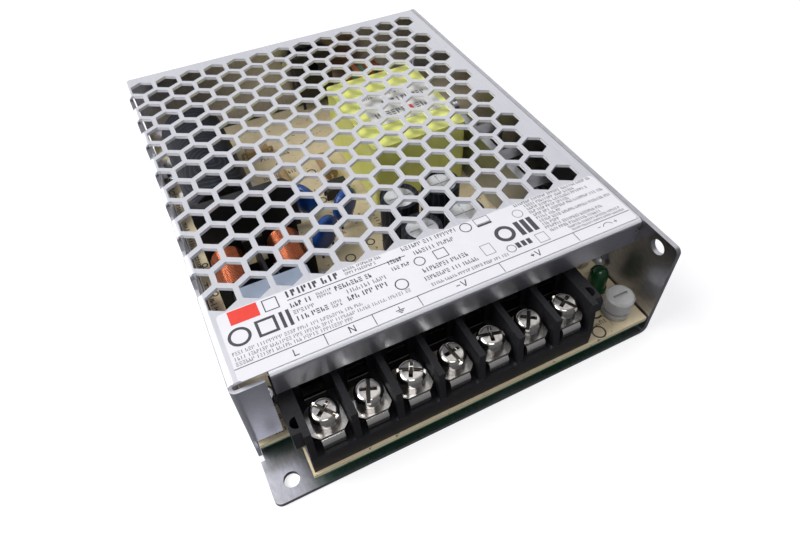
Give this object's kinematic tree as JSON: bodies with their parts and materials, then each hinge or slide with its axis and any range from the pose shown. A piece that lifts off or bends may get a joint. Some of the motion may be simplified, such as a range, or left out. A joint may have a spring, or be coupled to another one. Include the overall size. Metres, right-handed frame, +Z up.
{
  "type": "mesh case switching power supply",
  "caption": "Flat enclosed power supply: folded aluminium chassis, honeycomb-perforated cover, front screw terminal strip, voltage adjuster and status lamp.",
  "frame": {"origin": "middle of the base, on the plane that the supply rests on", "axes": "+Z up through the perforated cover, +Y along the length away from the terminals, +X to the right seen from the terminals"},
  "size_m": [0.097, 0.129, 0.0301],
  "materials": {
    "chassis_sheet": "satin rolled aluminium sheet",
    "cover_sheet": "satin rolled aluminium sheet, faintly lavender",
    "label_film": "satin white printed film",
    "clear_film": "translucent polyester film",
    "board_laminate": "cream single-sided laminate with a green underside",
    "zinc_screw": "bright zinc plate",
    "black_moulding": "semi-matt black moulding",
    "tinned_brass": "bright tin plate",
    "screw_nickel": "bright nickel plate",
    "plate_nickel": "bright nickel plate",
    "adjuster_plastic": "milky translucent nylon",
    "green_lens": "tinted green epoxy",
    "can_aluminium": "drawn aluminium",
    "capacitor_sleeve": "dark shrink sleeve",
    "white_silicone": "cured white adhesive",
    "black_epoxy": "moulded epoxy",
    "ferrite": "fired ferrite",
    "copper_wire": "enamelled copper",
    "pale_case": "pale grey-blue case",
    "blue_epoxy": "dipped blue epoxy",
    "green_epoxy": "dipped dark green epoxy",
    "ceramic_tube": "glazed ceramic",
    "fuse_metal": "nickel plate",
    "winding_tape": "polyester tape over wire",
    "yellow_tape": "yellow polyester tape",
    "paper_label": "white paper",
    "ring_core": "painted powder core",
    "heatsink_aluminium": "plain aluminium",
    "spring_steel": "spring steel",
    "resistor_body": "dipped tan body"
  },
  "bodies": {
    "supply": {"chassis": "chassis_sheet", "cover": "cover_sheet", "rating_label": "label_film", "insulation_sheet": "clear_film", "pcb": "board_laminate", "pcb_screws": "zinc_screw", "cover_screws": "zinc_screw", "terminal_block": "black_moulding", "terminal_contacts": "tinned_brass", "adjuster_body": "adjuster_plastic", "power_led": "green_lens", "bulk_capacitor_can": "can_aluminium", "bulk_capacitor_sleeve": "capacitor_sleeve", "capacitor_adhesive": "white_silicone", "bridge_rectifier": "black_epoxy", "main_transistor": "black_epoxy", "choke_core": "ferrite", "choke_bobbin": "black_moulding", "choke_coils": "copper_wire", "film_capacitor": "pale_case", "disc_capacitors": "blue_epoxy", "inrush_thermistor": "green_epoxy", "fuse_tube": "ceramic_tube", "fuse_caps": "fuse_metal", "transformer_core": "ferrite", "transformer_bobbin": "black_moulding", "transformer_winding": "winding_tape", "transformer_tape": "yellow_tape", "transformer_label": "paper_label", "output_capacitor_cans": "can_aluminium", "output_capacitor_sleeves": "capacitor_sleeve", "output_choke_core": "ring_core", "output_choke_coil": "copper_wire", "heatsink_bar": "heatsink_aluminium", "power_semiconductors": "black_epoxy", "semiconductor_clips": "spring_steel", "resistors": "resistor_body", "optocouplers": "black_epoxy"},
    "clamp_1": {"clamp_plate_1": "plate_nickel"},
    "screw_1": {"terminal_screw_1": "screw_nickel"},
    "clamp_2": {"clamp_plate_2": "plate_nickel"},
    "screw_2": {"terminal_screw_2": "screw_nickel"},
    "clamp_3": {"clamp_plate_3": "plate_nickel"},
    "screw_3": {"terminal_screw_3": "screw_nickel"},
    "clamp_4": {"clamp_plate_4": "plate_nickel"},
    "screw_4": {"terminal_screw_4": "screw_nickel"},
    "clamp_5": {"clamp_plate_5": "plate_nickel"},
    "screw_5": {"terminal_screw_5": "screw_nickel"},
    "clamp_6": {"clamp_plate_6": "plate_nickel"},
    "screw_6": {"terminal_screw_6": "screw_nickel"},
    "clamp_7": {"clamp_plate_7": "plate_nickel"},
    "screw_7": {"terminal_screw_7": "screw_nickel"},
    "adjuster": {"adjuster_knob": "adjuster_plastic"}
  },
  "joints": [
    {"name": "clamp_lift_1", "type": "slide", "parent": "supply", "child": "clamp_1", "axis": [0, 0, 1], "range_m": [0, 0.003]},
    {"name": "screw_turn_1", "type": "hinge", "parent": "clamp_1", "child": "screw_1", "pos_m": [-0.0335, -0.0583, 0.0175], "axis": [0, 0, 1], "range_deg": [0, 1800]},
    {"name": "clamp_lift_2", "type": "slide", "parent": "supply", "child": "clamp_2", "axis": [0, 0, 1], "range_m": [0, 0.003]},
    {"name": "screw_turn_2", "type": "hinge", "parent": "clamp_2", "child": "screw_2", "pos_m": [-0.0239, -0.0583, 0.0175], "axis": [0, 0, 1], "range_deg": [0, 1800]},
    {"name": "clamp_lift_3", "type": "slide", "parent": "supply", "child": "clamp_3", "axis": [0, 0, 1], "range_m": [0, 0.003]},
    {"name": "screw_turn_3", "type": "hinge", "parent": "clamp_3", "child": "screw_3", "pos_m": [-0.0143, -0.0583, 0.0175], "axis": [0, 0, 1], "range_deg": [0, 1800]},
    {"name": "clamp_lift_4", "type": "slide", "parent": "supply", "child": "clamp_4", "axis": [0, 0, 1], "range_m": [0, 0.003]},
    {"name": "screw_turn_4", "type": "hinge", "parent": "clamp_4", "child": "screw_4", "pos_m": [-0.0047, -0.0583, 0.0175], "axis": [0, 0, 1], "range_deg": [0, 1800]},
    {"name": "clamp_lift_5", "type": "slide", "parent": "supply", "child": "clamp_5", "axis": [0, 0, 1], "range_m": [0, 0.003]},
    {"name": "screw_turn_5", "type": "hinge", "parent": "clamp_5", "child": "screw_5", "pos_m": [0.0049, -0.0583, 0.0175], "axis": [0, 0, 1], "range_deg": [0, 1800]},
    {"name": "clamp_lift_6", "type": "slide", "parent": "supply", "child": "clamp_6", "axis": [0, 0, 1], "range_m": [0, 0.003]},
    {"name": "screw_turn_6", "type": "hinge", "parent": "clamp_6", "child": "screw_6", "pos_m": [0.0145, -0.0583, 0.0175], "axis": [0, 0, 1], "range_deg": [0, 1800]},
    {"name": "clamp_lift_7", "type": "slide", "parent": "supply", "child": "clamp_7", "axis": [0, 0, 1], "range_m": [0, 0.003]},
    {"name": "screw_turn_7", "type": "hinge", "parent": "clamp_7", "child": "screw_7", "pos_m": [0.0241, -0.0583, 0.0175], "axis": [0, 0, 1], "range_deg": [0, 1800]},
    {"name": "adjuster_turn", "type": "hinge", "parent": "supply", "child": "adjuster", "pos_m": [0.041, -0.0594, 0.011], "axis": [0, 0, 1], "range_deg": [-120, 120]}
  ],
  "couplings": [
    {"joint": "screw_turn_1", "follows": "clamp_lift_1", "rad_per_m": 10472},
    {"joint": "screw_turn_2", "follows": "clamp_lift_2", "rad_per_m": 10472},
    {"joint": "screw_turn_3", "follows": "clamp_lift_3", "rad_per_m": 10472},
    {"joint": "screw_turn_4", "follows": "clamp_lift_4", "rad_per_m": 10472},
    {"joint": "screw_turn_5", "follows": "clamp_lift_5", "rad_per_m": 10472},
    {"joint": "screw_turn_6", "follows": "clamp_lift_6", "rad_per_m": 10472},
    {"joint": "screw_turn_7", "follows": "clamp_lift_7", "rad_per_m": 10472}
  ]
}
